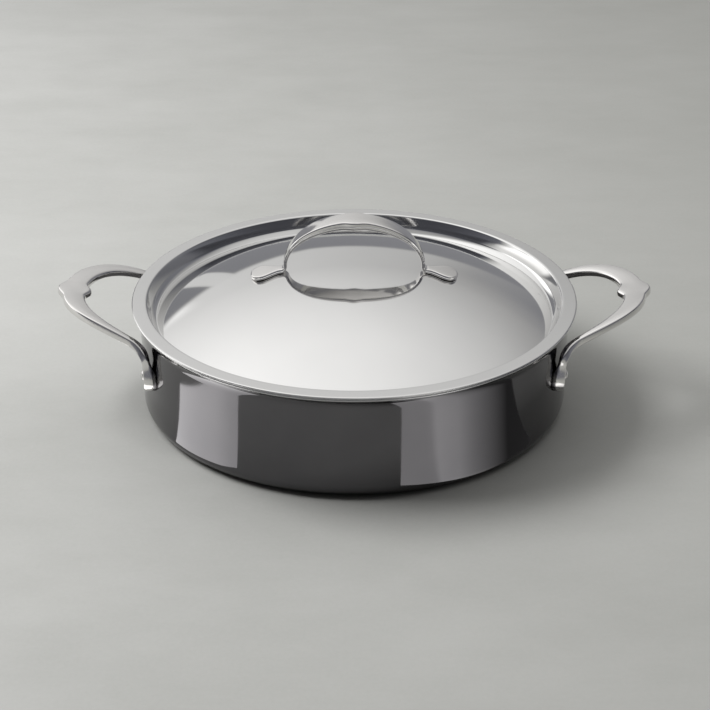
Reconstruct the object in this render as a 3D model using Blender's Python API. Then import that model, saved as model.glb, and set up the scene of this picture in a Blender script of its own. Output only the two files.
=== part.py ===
# Deep two-handled saute pan with a domed lid, modelled as it is built:
# three clad plies, two cast loop handles on four rivets, a pressed lid and its cast strap handle.
# Metres, +Z up, origin at the centre of the flat base. The handles point along +X and -X.

import math

import bmesh
import bpy
from mathutils import Matrix, Vector

# Clearance between meshes that touch on the real pan
GAP = 0.0003

# Pan shell
PAN_RADIUS = 0.152
PAN_HEIGHT = 0.0783
BASE_CORNER_RADIUS = 0.010
OUTER_PLY_THICKNESS = 0.0005
CORE_THICKNESS = 0.0014
COOKING_PLY_THICKNESS = 0.0005
RIM_FLARE_RADIUS = 0.011
RIM_FLARE_REACH = 0.004
RIM_LIP_LENGTH = 0.0010

# Pressed lid
LID_SHEET = 0.0010
LID_OVERHANG = 0.0015
LID_FLANGE_WIDTH = 0.0105
LID_FLANGE_BEND = 0.0016
LID_DROP = 0.0091
LID_DROP_DRAFT = 0.0010
LID_GROOVE_WIDTH = 0.0124
LID_GROOVE_BEND = 0.0022
LID_DOME_RISE = 0.0298

# Edges and camber of the cast straps, with the most of a side that each may take
STRAP_EDGE_RADIUS = 0.0013
STRAP_EDGE_SHARE = 0.7
STRAP_CAMBER_SHARE = 0.4

# Cast strap handle on the lid
LID_HANDLE_SPAN = 0.0974
LID_HANDLE_RISE = 0.0343
LID_HANDLE_CROWN_WIDTH = 0.0186
LID_HANDLE_NECK_WIDTH = 0.0092
LID_HANDLE_TAPER_POWER = 4
LID_HANDLE_CROWN_THICKNESS = 0.0062
LID_HANDLE_NECK_THICKNESS = 0.0026
LID_HANDLE_THINNING_POWER = 2
LID_HANDLE_CAMBER = 0.0007
LID_HANDLE_TURN_RADIUS = 0.0034
LID_PAD_WIDTH = 0.0208
LID_PAD_LENGTH = 0.0245
LID_PAD_ROUND = 0.0072
LID_PAD_THICKNESS = 0.0032
LID_KNUCKLE_WIDTH = 0.0038
LID_KNUCKLE_LENGTH = 0.0190

# Cast loop handles on the pan
HANDLE_PROJECTION = 0.0584
HANDLE_TIP_ABOVE_RIM = 0.0033
HANDLE_TIP_SLOPE = 0.12
HANDLE_TIP_WIDTH = 0.0160
HANDLE_TIP_CURVE = 0.0270
HANDLE_KNUCKLE_WIDTH = 0.0078
HANDLE_KNUCKLE_LENGTH = 0.0230
HANDLE_ARM_GAP = 0.0020
HANDLE_ARM_SPACING = 0.1084
HANDLE_ARM_SPLAY = math.radians(15.4)
HANDLE_ARM_CURVE = 0.0300
HANDLE_ARM_DROP = 0.0130
HANDLE_DROP_POWER = 1.65
HANDLE_ARM_WIDTH = 0.0076
HANDLE_TAPER_POWER = 1.5
HANDLE_THICKNESS = 0.0053
HANDLE_CAMBER = 0.0008
HANDLE_BEND_TOP = 0.0100
HANDLE_BEND_FOOT = 0.0090

# Feet of the loop handles
FOOT_SPACING = 0.1260
FOOT_WIDTH = 0.0125
FOOT_NECK_WIDTH = 0.0068
FOOT_NECK_BLEND = 0.0160
FOOT_THICKNESS = 0.0034
FOOT_CAMBER = 0.0001
FOOT_TOP_HEIGHT = 0.0500
FOOT_END_HEIGHT = 0.0350

# Rivets
RIVET_HEIGHT = 0.0465
RIVET_SHANK_RADIUS = 0.0024
RIVET_HEAD_RADIUS = 0.0046
RIVET_HEAD_DOME = 0.0023
RIVET_TAIL_RADIUS = 0.0050
RIVET_TAIL_DOME = 0.0013
RIVET_TAIL_SHOULDER = (0.75, 0.75)
RIVET_HEAD_SHOULDER = (0.85, 0.6)
RIVET_HEAD_CROWN = (0.5, 0.92)

# How finely the round shapes are cut
TURN_STEPS = 56
BEND_STEPS = 3
DOME_STEPS = 7
RIVET_STEPS = 14
ARCH_STEPS = 14
BEND_PATH_STEPS = 7
PADDLE_STEPS = 5
LOOP_STEP_POWER = 1.4
ROUND_END_SWEEP = math.radians(80)
SHARP_ANGLE = math.radians(40)
WELD_DISTANCE = 1e-6
LEAST_LEVEL_RUN = 0.01

WALL = OUTER_PLY_THICKNESS + GAP + CORE_THICKNESS + GAP + COOKING_PLY_THICKNESS
FLARE_ANGLE = math.acos(1 - RIM_FLARE_REACH / RIM_FLARE_RADIUS)
FLARE_START = PAN_HEIGHT - (RIM_FLARE_RADIUS + WALL) * math.sin(FLARE_ANGLE)
RIM_RADIUS = PAN_RADIUS + RIM_FLARE_REACH
LID_SEAT = PAN_HEIGHT + GAP
LID_RADIUS = RIM_RADIUS + LID_OVERHANG
LID_GROOVE_RADIUS = LID_RADIUS - LID_FLANGE_WIDTH - LID_DROP_DRAFT
LID_DOME_EDGE = LID_GROOVE_RADIUS - LID_GROOVE_WIDTH
LID_DOME_RADIUS = (LID_DOME_EDGE ** 2 + LID_DOME_RISE ** 2) / (2 * LID_DOME_RISE)


# Materials

def finish(name, colour, roughness):
    material = bpy.data.materials.new(name)
    material.use_nodes = True
    shader = material.node_tree.nodes["Principled BSDF"]
    shader.inputs["Base Color"].default_value = (*colour, 1.0)
    shader.inputs["Metallic"].default_value = 1.0
    shader.inputs["Roughness"].default_value = roughness
    material.diffuse_color = (*colour, 1.0)
    return material


# Outlines in the (radius, height) plane

def arc(centre, radius, start, end, steps):
    points = []
    for step in range(steps + 1):
        angle = start + (end - start) * step / steps
        points.append((centre[0] + radius * math.cos(angle), centre[1] + radius * math.sin(angle)))
    return points


def rounded(corners):
    # Each corner is (radius, height, bend radius), and a bend of 0 leaves it sharp
    points = [corners[0][:2]]
    for before, corner, after in zip(corners, corners[1:], corners[2:]):
        here = Vector(corner[:2])
        back = (Vector(before[:2]) - here).normalized()
        forth = (Vector(after[:2]) - here).normalized()
        opening = back.angle(forth)
        if corner[2] == 0:
            points.append(tuple(here))
            continue
        reach = corner[2] / math.tan(opening / 2)
        centre = here + (back + forth).normalized() * corner[2] / math.sin(opening / 2)
        first = here + back * reach - centre
        last = here + forth * reach - centre
        sweep = math.atan2(first.cross(last), first.dot(last))
        start = math.atan2(first.y, first.x)
        points.extend(arc(centre, corner[2], start, start + sweep, BEND_STEPS))
    points.append(corners[-1][:2])
    return points


def offset(line, distance):
    # Points of a line moved square to it, to its right as it runs
    moved = []
    for index, point in enumerate(line):
        before = Vector(line[max(index - 1, 0)])
        after = Vector(line[min(index + 1, len(line) - 1)])
        here = Vector(point)
        legs = [leg.normalized() for leg in (here - before, after - here) if leg.length > 0]
        normals = [Vector((leg.y, -leg.x)) for leg in legs]
        normal = sum(normals, Vector((0, 0))).normalized()
        moved.append(tuple(here + normal * distance / normal.dot(normals[0])))
    return moved


def shell_line(inset, lip=0.0):
    # One surface of the clad shell, from the base's centre out and up to the rim,
    # at a depth of inset under the outer surface, ending lip short of the rim's edge
    corner = BASE_CORNER_RADIUS - inset
    flare = RIM_FLARE_RADIUS + inset
    flare_centre = (PAN_RADIUS + RIM_FLARE_RADIUS, FLARE_START)
    end = math.pi - FLARE_ANGLE + lip / RIM_FLARE_RADIUS
    line = [(0.0, inset)]
    line += arc((PAN_RADIUS - BASE_CORNER_RADIUS, BASE_CORNER_RADIUS), corner, -math.pi / 2, 0, BEND_STEPS)
    line += arc(flare_centre, flare, math.pi, end, BEND_STEPS)
    return line


def lid_top_line():
    # The lid's upper surface above its seat, from the dome's crown to the flange's edge
    top = LID_SHEET
    groove = top - LID_DROP
    crown = groove + LID_DOME_RISE
    top_angle = math.pi / 2
    edge_angle = math.acos(LID_DOME_EDGE / LID_DOME_RADIUS)
    dome = arc((0, crown - LID_DOME_RADIUS), LID_DOME_RADIUS, top_angle, edge_angle, DOME_STEPS)
    flange_inside = LID_RADIUS - LID_FLANGE_WIDTH
    bends = rounded([
        (*dome[-2], 0),
        (*dome[-1], LID_GROOVE_BEND),
        (LID_GROOVE_RADIUS, groove, LID_GROOVE_BEND),
        (flange_inside, top, LID_FLANGE_BEND),
        (LID_RADIUS - LID_SHEET / 2, top, 0),
    ])
    return dome[:-2] + bends


def dome_height(reach):
    # Height of the lid's outer surface above the seat, at this distance from the axis
    crown = LID_SHEET - LID_DROP + LID_DOME_RISE
    return crown - LID_DOME_RADIUS + math.sqrt(LID_DOME_RADIUS ** 2 - reach ** 2)


# Meshes

def add_object(name, mesh, material, parent=None):
    thing = bpy.data.objects.new(name, mesh)
    thing.parent = parent
    if material is not None and not mesh.materials:
        mesh.materials.append(material)
    bpy.context.scene.collection.objects.link(thing)
    return thing


def make_mesh(name, bm):
    bmesh.ops.recalc_face_normals(bm, faces=bm.faces)
    if bm.calc_volume(signed=True) < 0:
        bmesh.ops.reverse_faces(bm, faces=bm.faces)
    mesh = bpy.data.meshes.new(name)
    bm.to_mesh(mesh)
    bm.free()
    mesh.shade_smooth()
    mesh.set_sharp_from_angle(angle=SHARP_ANGLE)
    return mesh


def turned(name, outline, steps):
    # A closed outline spun once around the Z axis
    bm = bmesh.new()
    points = [bm.verts.new((radius, 0, height)) for radius, height in outline]
    edges = [bm.edges.new(pair) for pair in zip(points, points[1:])]
    if outline[0][0] > 0:
        edges.append(bm.edges.new((points[-1], points[0])))
    bmesh.ops.spin(
        bm,
        geom=points + edges,
        axis=(0, 0, 1),
        cent=(0, 0, 0),
        angle=math.tau,
        steps=steps,
        use_merge=True,
    )
    bmesh.ops.remove_doubles(bm, verts=bm.verts, dist=WELD_DISTANCE)
    return make_mesh(name, bm)


def strap_section(half_width, half_thickness, camber):
    # Corners of a flat bar with rounded edges and a cambered top, as (across, up) pairs
    edge = min(STRAP_EDGE_RADIUS, STRAP_EDGE_SHARE * half_thickness, STRAP_EDGE_SHARE * half_width)
    rise = min(camber, STRAP_CAMBER_SHARE * half_thickness)
    flat = half_width - edge
    shoulder = half_thickness - rise
    return (
        (-flat, -half_thickness),
        (flat, -half_thickness),
        (half_width, edge - half_thickness),
        (half_width, shoulder - edge),
        (flat, shoulder),
        (0, half_thickness),
        (-flat, shoulder),
        (-half_width, shoulder - edge),
        (-half_width, edge - half_thickness),
    )


def strap(name, stations):
    # A cast bar through stations of
    # (centre, direction across, direction up, half width, half thickness, camber)
    bm = bmesh.new()
    rings = []
    for centre, across, up, *sizes in stations:
        corners = [centre + across * side + up * rise for side, rise in strap_section(*sizes)]
        rings.append([bm.verts.new(corner) for corner in corners])
    for ring, following in zip(rings, rings[1:]):
        for index, corner in enumerate(ring):
            after = (index + 1) % len(ring)
            bm.faces.new((corner, ring[after], following[after], following[index]))
    bm.faces.new(rings[0])
    bm.faces.new(rings[-1])
    return make_mesh(name, bm)


def paddle(from_end, half_width, end_round, neck, blend):
    # Half width of a round-ended paddle, at this distance from its end
    if from_end < end_round:
        return half_width * math.sqrt(1 - (1 - from_end / end_round) ** 2)
    share = min((from_end - end_round) / blend, 1.0)
    return mix(half_width, neck, share * share * (3 - 2 * share))


def mix(start, end, share):
    return start + (end - start) * share


def bump(distance, length):
    # A smooth swelling, 1 at its middle and 0 from half its length on
    share = min(abs(distance) / (length / 2), 1.0)
    return (1 + math.cos(math.pi * share)) / 2


def bezier(start, start_handle, end_handle, end, share):
    rest = 1 - share
    return (
        start * rest ** 3
        + start_handle * 3 * rest ** 2 * share
        + end_handle * 3 * rest * share ** 2
        + end * share ** 3
    )


def along(path, mirror):
    # Unit direction at each point of half a path, whose first point lies on the mirror plane
    before = [path[1] * mirror] + path[:-1]
    after = path[1:] + [path[-1]]
    return [(end - start).normalized() for start, end in zip(before, after)]


def mirrored(stations, mirror):
    # The whole strap from its half: the mirror of the half, in reverse, and then the half
    other = []
    for centre, across, up, *sizes in reversed(stations[1:]):
        other.append((centre * mirror, across * mirror, up * mirror, *sizes))
    return other + stations


def round_end(steps):
    # Shares of a round end's length at which it is cut, from where it starts to almost its tip
    return [math.sin(ROUND_END_SWEEP * step / (steps - 1)) for step in range(steps)]


# The clad shell

def build_shell(cutters):
    core_inset = OUTER_PLY_THICKNESS + GAP
    cooking_inset = core_inset + CORE_THICKNESS + GAP
    ply_end = RIM_LIP_LENGTH + GAP
    outer = shell_line(0, ply_end) + shell_line(OUTER_PLY_THICKNESS, ply_end)[::-1]
    core = shell_line(core_inset, ply_end) + shell_line(cooking_inset - GAP, ply_end)[::-1]
    lip = [shell_line(0)[-1], shell_line(0, RIM_LIP_LENGTH)[-1]]
    cooking = shell_line(WALL) + lip + shell_line(cooking_inset, RIM_LIP_LENGTH)[::-1]
    plies = (
        ("pan_outer_ply", outer, finish("graphite_polished_steel", (0.11, 0.11, 0.12), 0.12)),
        ("pan_core", core, finish("aluminium_core", (0.80, 0.80, 0.81), 0.45)),
        ("pan_cooking_ply", cooking, finish("cooking_surface_steel", (0.66, 0.66, 0.65), 0.22)),
    )
    for name, outline, material in plies:
        ply = add_object(name, turned(name, outline, TURN_STEPS), material)
        cut_holes(ply, cutters)


def cut_holes(thing, cutters):
    for cutter in cutters:
        hole = thing.modifiers.new(cutter.name, "BOOLEAN")
        hole.operation = "DIFFERENCE"
        hole.solver = "EXACT"
        hole.object = cutter


# Cast loop handles and their rivets

def foot_seat():
    # Distance of the foot's flat back from the pan's axis
    return PAN_RADIUS + GAP


def foot_angle():
    return math.asin(FOOT_SPACING / 2 / (foot_seat() + FOOT_THICKNESS / 2))


def rivet_places():
    # Each rivet's name, the handle that it holds, and its angle around the pan
    places = []
    for side, turn in (("right", 0.0), ("left", math.pi)):
        for end, sign in (("front", -1), ("rear", 1)):
            facing = 1 if side == "right" else -1
            places.append((f"rivet_{side}_{end}", side, turn + sign * facing * foot_angle()))
    return places


def radial_frame(angle):
    # Local +Z points out of the pan at this angle, level, at the height of the rivets
    turn = Matrix.Rotation(angle, 4, "Z") @ Matrix.Rotation(math.pi / 2, 4, "Y")
    return Matrix.Translation((0, 0, RIVET_HEIGHT)) @ turn


def build_cutters():
    # Clearance holes for the rivet shanks through foot and plies
    start = PAN_RADIUS - WALL - RIVET_TAIL_DOME
    end = foot_seat() + FOOT_THICKNESS + RIVET_HEAD_DOME
    radius = RIVET_SHANK_RADIUS + GAP
    outline = [(0, start), (radius, start), (radius, end), (0, end)]
    mesh = turned("rivet_hole", outline, RIVET_STEPS)
    cutters = {}
    for name, side, angle in rivet_places():
        cutter = add_object(f"hole_for_{name}", mesh, None)
        cutter.matrix_world = radial_frame(angle)
        cutter.hide_render = True
        cutter.display_type = "WIRE"
        cutters.setdefault(side, []).append(cutter)
    return cutters


def build_rivets():
    inner_wall = PAN_RADIUS - WALL
    tail_seat = math.sqrt(inner_wall ** 2 - RIVET_TAIL_RADIUS ** 2) * math.cos(math.pi / TURN_STEPS) - GAP
    head_seat = foot_seat() + FOOT_THICKNESS + GAP

    def head_point(shares):
        return RIVET_HEAD_RADIUS * shares[0], head_seat + RIVET_HEAD_DOME * shares[1]

    def tail_point(shares):
        return RIVET_TAIL_RADIUS * shares[0], tail_seat - RIVET_TAIL_DOME * shares[1]

    outline = [
        tail_point((0, 1)),
        tail_point(RIVET_TAIL_SHOULDER),
        tail_point((1, 0)),
        (RIVET_SHANK_RADIUS, tail_seat),
        (RIVET_SHANK_RADIUS, head_seat),
        head_point((1, 0)),
        head_point(RIVET_HEAD_SHOULDER),
        head_point(RIVET_HEAD_CROWN),
        head_point((0, 1)),
    ]
    mesh = turned("rivet", outline, RIVET_STEPS)
    material = finish("rivet_steel", (0.70, 0.70, 0.69), 0.2)
    for name, side, angle in rivet_places():
        rivet = add_object(name, mesh, material)
        rivet.matrix_world = radial_frame(angle)


def handle_stations():
    # Half of the loop from the tip's middle to one foot's end, on the +X and +Y side
    tip_width = HANDLE_TIP_WIDTH + HANDLE_KNUCKLE_WIDTH
    tip = Vector((PAN_RADIUS + HANDLE_PROJECTION - tip_width / 2, 0, 0))
    arm = Vector((PAN_RADIUS + HANDLE_ARM_GAP, HANDLE_ARM_SPACING / 2, 0))
    arm_way = Vector((math.cos(HANDLE_ARM_SPLAY), -math.sin(HANDLE_ARM_SPLAY), 0))
    tip_handle = tip + Vector((0, HANDLE_TIP_CURVE, 0))
    arm_handle = arm + arm_way * HANDLE_ARM_CURVE
    tip_z = PAN_HEIGHT + HANDLE_TIP_ABOVE_RIM

    def arm_share(point):
        return min(max((tip.x - point.x) / (tip.x - arm.x), 0.0), 1.0)

    path = []
    for step in range(ARCH_STEPS + 1):
        point = bezier(tip, tip_handle, arm_handle, arm, (step / ARCH_STEPS) ** LOOP_STEP_POWER)
        point.z = tip_z - HANDLE_ARM_DROP * arm_share(point) ** HANDLE_DROP_POWER
        path.append(point)
    arm_end = path[-1]

    angle = foot_angle()
    reach = foot_seat() + FOOT_THICKNESS / 2
    foot_top = Vector((reach * math.cos(angle), reach * math.sin(angle), FOOT_TOP_HEIGHT))
    bend_start = arm_end + (arm_end - path[-2]).normalized() * HANDLE_BEND_TOP
    bend_end = foot_top + Vector((0, 0, HANDLE_BEND_FOOT))
    for step in range(1, BEND_PATH_STEPS):
        path.append(bezier(arm_end, bend_start, bend_end, foot_top, step / BEND_PATH_STEPS))

    end_round = FOOT_WIDTH / 2
    straight = FOOT_TOP_HEIGHT - FOOT_END_HEIGHT - end_round
    drops = [straight * step / PADDLE_STEPS for step in range(PADDLE_STEPS)]
    drops += [straight + end_round * share for share in round_end(PADDLE_STEPS)]
    path += [foot_top - Vector((0, 0, drop)) for drop in drops]

    # The strap's width follows the sloping sheet that the loop is curved in, and then the wall
    arm_slope = HANDLE_ARM_DROP * HANDLE_DROP_POWER / (tip.x - arm.x)
    foot_across = Vector((math.sin(angle), -math.cos(angle), 0))
    mirror = Vector((1, -1, 1))
    stations = []
    for point, direction in zip(path, along(path, mirror)):
        share = arm_share(point)
        drop = min(max((arm_end.z - point.z) / (arm_end.z - FOOT_TOP_HEIGHT), 0.0), 1.0)
        across = Vector((-direction.y, direction.x, 0))
        if across.length > LEAST_LEVEL_RUN:
            across.normalize()
            across.z = across.x * mix(HANDLE_TIP_SLOPE, arm_slope, share)
            across = across.lerp(foot_across, drop)
        else:
            across = foot_across
        across = (across - direction * across.dot(direction)).normalized()
        if drop == 0:
            width = mix(HANDLE_ARM_WIDTH, HANDLE_TIP_WIDTH, (1 - share) ** HANDLE_TAPER_POWER)
            width += HANDLE_KNUCKLE_WIDTH * bump(point.y, HANDLE_KNUCKLE_LENGTH)
        else:
            neck = mix(HANDLE_ARM_WIDTH, FOOT_NECK_WIDTH, drop) / 2
            from_end = point.z - FOOT_END_HEIGHT
            width = 2 * paddle(from_end, FOOT_WIDTH / 2, end_round, neck, FOOT_NECK_BLEND)
        thickness = mix(HANDLE_THICKNESS, FOOT_THICKNESS, drop)
        camber = mix(HANDLE_CAMBER, FOOT_CAMBER, drop)
        stations.append((point, across, direction.cross(across), width / 2, thickness / 2, camber))
    return mirrored(stations, mirror)


def build_handles(cutters):
    mesh = strap("loop_handle", handle_stations())
    material = finish("cast_handle_steel", (0.64, 0.64, 0.63), 0.2)
    for side, turn in (("right", 0.0), ("left", math.pi)):
        handle = add_object(f"handle_{side}", mesh, material)
        handle.rotation_euler = (0, 0, turn)
        cut_holes(handle, cutters[side])


# The lid and its handle, around an empty on the axis where the lid seats

def lid_handle_stations():
    # Half of the strap from its crown to one pad's end, on the +X side, above the lid's seat
    half_span = LID_HANDLE_SPAN / 2
    turn = LID_HANDLE_TURN_RADIUS
    seat = GAP + LID_PAD_THICKNESS / 2
    pad_start = half_span + turn
    base = dome_height(pad_start) + seat + turn
    crown = dome_height(0) + LID_HANDLE_RISE

    path = []
    for step in range(ARCH_STEPS):
        angle = math.pi / 2 * step / ARCH_STEPS
        path.append(Vector((half_span * math.sin(angle), 0, mix(base, crown, math.cos(angle)))))
    for step in range(BEND_STEPS):
        angle = math.pi / 2 * step / BEND_STEPS
        path.append(Vector((pad_start - turn * math.cos(angle), 0, base - turn * math.sin(angle))))

    pad_end = half_span + LID_PAD_LENGTH
    round_start = pad_end - LID_PAD_ROUND
    places = [mix(pad_start, round_start, step / PADDLE_STEPS) for step in range(PADDLE_STEPS)]
    places += [round_start + LID_PAD_ROUND * share for share in round_end(PADDLE_STEPS)]
    path += [Vector((x, 0, dome_height(x) + seat)) for x in places]

    across = Vector((0, 1, 0))
    mirror = Vector((-1, 1, 1))
    stations = []
    for point, direction in zip(path, along(path, mirror)):
        share = min(point.x / half_span, 1.0)
        width = mix(LID_HANDLE_CROWN_WIDTH, LID_HANDLE_NECK_WIDTH, share ** LID_HANDLE_TAPER_POWER)
        width += LID_KNUCKLE_WIDTH * bump(point.x, LID_KNUCKLE_LENGTH)
        if point.x > pad_start:
            neck = LID_HANDLE_NECK_WIDTH / 2
            blend = round_start - pad_start
            width = 2 * paddle(pad_end - point.x, LID_PAD_WIDTH / 2, LID_PAD_ROUND, neck, blend)
        thinning = share ** LID_HANDLE_THINNING_POWER
        thickness = mix(LID_HANDLE_CROWN_THICKNESS, LID_HANDLE_NECK_THICKNESS, thinning)
        onto_pad = min(max(point.x - half_span, 0.0) / turn, 1.0)
        thickness = mix(thickness, LID_PAD_THICKNESS, onto_pad)
        stations.append((point, across, direction.cross(across), width / 2, thickness / 2, LID_HANDLE_CAMBER))
    return mirrored(stations, mirror)


def build_lid():
    seat = bpy.data.objects.new("lid_lift_axis", None)
    seat.location = (0, 0, LID_SEAT)
    bpy.context.scene.collection.objects.link(seat)

    top = lid_top_line()
    underside = offset(top, LID_SHEET)
    underside[0] = (0.0, top[0][1] - LID_SHEET)
    edge = (LID_RADIUS, LID_SHEET / 2)
    steel = finish("polished_lid_steel", (0.72, 0.72, 0.71), 0.08)
    add_object("lid", turned("lid", top + [edge] + underside[::-1], TURN_STEPS), steel, seat)

    cast = finish("cast_lid_handle_steel", (0.64, 0.64, 0.63), 0.16)
    add_object("lid_handle", strap("lid_handle", lid_handle_stations()), cast, seat)


def main():
    for thing in list(bpy.data.objects):
        bpy.data.objects.remove(thing)
    cutters = build_cutters()
    build_shell(cutters["right"] + cutters["left"])
    build_handles(cutters)
    build_rivets()
    build_lid()
    bpy.context.view_layer.update()


main()
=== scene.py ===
import math

import bmesh
import bpy
from mathutils import Matrix, Vector


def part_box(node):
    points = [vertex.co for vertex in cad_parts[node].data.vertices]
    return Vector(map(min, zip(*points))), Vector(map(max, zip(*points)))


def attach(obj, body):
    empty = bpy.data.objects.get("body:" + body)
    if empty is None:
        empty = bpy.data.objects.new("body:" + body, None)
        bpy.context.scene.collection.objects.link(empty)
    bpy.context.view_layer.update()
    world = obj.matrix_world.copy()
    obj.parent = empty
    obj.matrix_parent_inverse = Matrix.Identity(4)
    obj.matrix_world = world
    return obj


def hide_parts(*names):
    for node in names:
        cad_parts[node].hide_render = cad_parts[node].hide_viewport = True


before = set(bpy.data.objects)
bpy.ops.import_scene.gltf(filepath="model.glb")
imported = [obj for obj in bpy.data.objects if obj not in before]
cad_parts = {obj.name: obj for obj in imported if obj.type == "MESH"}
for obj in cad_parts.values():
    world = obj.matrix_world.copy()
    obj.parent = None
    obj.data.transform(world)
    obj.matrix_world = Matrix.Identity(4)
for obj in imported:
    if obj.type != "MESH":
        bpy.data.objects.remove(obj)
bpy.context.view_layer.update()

print("frame loaded:", len(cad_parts), "nodes")


# Shader maths


class Signal:
    # one output socket; Python's own signs on it add Math nodes
    def __init__(self, bench, socket):
        self.bench = bench
        self.socket = socket

    def __add__(self, other):
        return self.bench.maths("ADD", self, other)

    def __sub__(self, other):
        return self.bench.maths("SUBTRACT", self, other)

    def __rsub__(self, other):
        return self.bench.maths("SUBTRACT", other, self)

    def __mul__(self, other):
        return self.bench.maths("MULTIPLY", self, other)

    def __truediv__(self, other):
        return self.bench.maths("DIVIDE", self, other)

    def __rtruediv__(self, other):
        return self.bench.maths("DIVIDE", other, self)

    def __pow__(self, other):
        return self.bench.maths("POWER", self, other)

    def __abs__(self):
        return self.bench.maths("ABSOLUTE", self)

    __radd__ = __add__
    __rmul__ = __mul__


class Bench:
    # the node tree of one finish, of a card or of the room
    def __init__(self, tree):
        self.tree = tree

    def plug(self, socket, value):
        if isinstance(value, Signal):
            self.tree.links.new(value.socket, socket)
        else:
            socket.default_value = value

    def node(self, kind, settings=None, output=0, numbered=None, **named):
        # settings come first, then the sockets by their number or by their name
        made = self.tree.nodes.new(kind)
        for key, value in (settings or {}).items():
            if key == "stops":
                ramp = made.color_ramp
                while len(ramp.elements) < len(value):
                    ramp.elements.new(0.5)
                for stop, (place, colour) in zip(ramp.elements, value):
                    stop.position = place
                    stop.color = colour
            else:
                setattr(made, key, value)
        for number, value in (numbered or {}).items():
            self.plug(made.inputs[number], value)
        for key, value in named.items():
            name = key.replace("_", " ")
            found = [socket for socket in made.inputs if socket.name == name and socket.enabled]
            self.plug(found[0], value)
        return Signal(self, made.outputs[output])

    def maths(self, operation, *values):
        return self.node("ShaderNodeMath", {"operation": operation}, numbered=dict(enumerate(values)))

    def place(self):
        return self.node("ShaderNodeTexCoord", output="Object")

    def split(self, vector):
        parts = self.node("ShaderNodeSeparateXYZ", Vector=vector)
        return [Signal(self, socket) for socket in parts.socket.node.outputs]

    def joined(self, x=0.0, y=0.0, z=0.0):
        return self.node("ShaderNodeCombineXYZ", X=x, Y=y, Z=z)

    def stretched(self, parts, scales):
        return self.joined(*[part * scale for part, scale in zip(parts, scales)])

    def noise(self, vector, scale, detail=3.0, roughness=0.55):
        return self.node("ShaderNodeTexNoise", Vector=vector, Scale=scale, Detail=detail, Roughness=roughness)

    def ramp(self, factor, *stops):
        return self.node("ShaderNodeValToRGB", {"stops": stops}, Fac=factor)

    def blend(self, factor, first, second):
        # of colours: the numbers are those of their factor, their two sides and their result
        return self.node("ShaderNodeMix", {"data_type": "RGBA"}, 2, {0: factor, 6: first, 7: second})

    def chosen(self, ray, usual, forRay):
        # one shader for most rays and another for this kind
        kind = self.node("ShaderNodeLightPath", output=ray)
        return self.node("ShaderNodeMixShader", numbered={0: kind, 1: usual, 2: forRay})

    def linear(self, value, start, end, interpolation="LINEAR"):
        # from 0 at the start to 1 at the end
        return self.node(
            "ShaderNodeMapRange", {"clamp": True, "interpolation_type": interpolation},
            Value=value, From_Min=start, From_Max=end,
        )

    def smooth(self, value, start, end):
        return self.linear(value, start, end, "SMOOTHSTEP")

    def span(self, factor, low, high):
        return self.node("ShaderNodeMapRange", {"clamp": True}, Value=factor, To_Min=low, To_Max=high)


class Finish(Bench):
    def __init__(self, name, **numbers):
        self.material = bpy.data.materials.new(name)
        self.material.use_nodes = True
        super().__init__(self.material.node_tree)
        self.surface = self.tree.nodes["Principled BSDF"]
        self.set(**numbers)

    def set(self, **values):
        for key, value in values.items():
            self.plug(self.surface.inputs[key.replace("_", " ")], value)

    def relief(self, height, distance, strength):
        self.set(Normal=self.node("ShaderNodeBump", Height=height, Distance=distance, Strength=strength))


def grey(level, warm=0.0):
    return (level * (1 + warm), level, level * (1 - warm), 1.0)


def weighed(share, first, second):
    # this share of the first, and the rest of the second
    return first * share + second * (1 - share)


# Finishes: a noise has its scale, detail and roughness, and a relief has its depth in metres and strength

lathe = {
    "lines": (2600.0, 340.0),  # fine and coarse polishing lines per metre
    "detail": (2.0, 3.0),
    "fineShare": 0.6,
}
graphiteLook = {
    "tones": ((0.25, (0.108, 0.106, 0.112, 1)), (0.75, (0.128, 0.125, 0.130, 1))),
    "cloud": (14.0, 4.0),
    "wipe": (60.0, 60.0, 14.0),  # wiping marks per metre along each axis, so they run up the wall
    "wipeDetail": 4.0,
    "wipeShare": 0.7,  # of the roughness, and the lathe's lines have the rest
    "roughness": (0.045, 0.10),
    "lineShare": 0.7,  # of the relief
    "relief": (0.000002, 0.4),
}
lidLook = {
    "tones": ((0.3, (0.700, 0.698, 0.692, 1)), (0.7, (0.745, 0.742, 0.735, 1))),
    "cloud": (9.0, 4.0),
    "smudge": (38.0, 4.0),
    "smudgeShare": 0.5,
    "roughness": (0.03, 0.09),
    "groove": 0.140,  # the lathe's lines are deeper around this radius
    "grooveEdge": (0.009, 0.005),  # how far from it they start, and are full
    "plainLines": 0.2,
    "relief": (0.000006, 0.5),
}
castLook = {
    "wave": (90.0, 3.0),
    "pits": (620.0, 4.0, 0.7),
    "cloud": (25.0, 3.0),
    "toneStep": 0.03,  # the dark and the light tone are this far from the level
    "toneStops": (0.3, 0.7),
    "warmth": (0.014, 0.018),
    "pitShare": 0.5,  # of the roughness, and the clouds have the rest
    "waveShare": 0.75,  # of the relief, and the pits have the rest
    "relief": (0.00003, 0.5),
}
cookingLook = {
    "tones": ((0.60, 0.598, 0.59, 1), (0.70, 0.698, 0.69, 1)),
    "brush": {"Anisotropic": 0.6, "Anisotropic_Rotation": 0.25},
    "lines": (1800.0, 240.0),
    "lineTone": 0.5,
    "cloud": (16.0, 4.0),
    "cloudShare": 0.4,
    "roughness": (0.20, 0.36),
    "relief": (0.00001, 0.5),
}
coreLook = {
    "tones": ((0.74, 0.74, 0.75, 1), (0.84, 0.84, 0.85, 1)),
    "rolled": (30.0, 900.0, 30.0),  # rolling marks per metre along each axis
    "roughness": (0.36, 0.52),
    "relief": (0.00001, 0.4),
}
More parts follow.
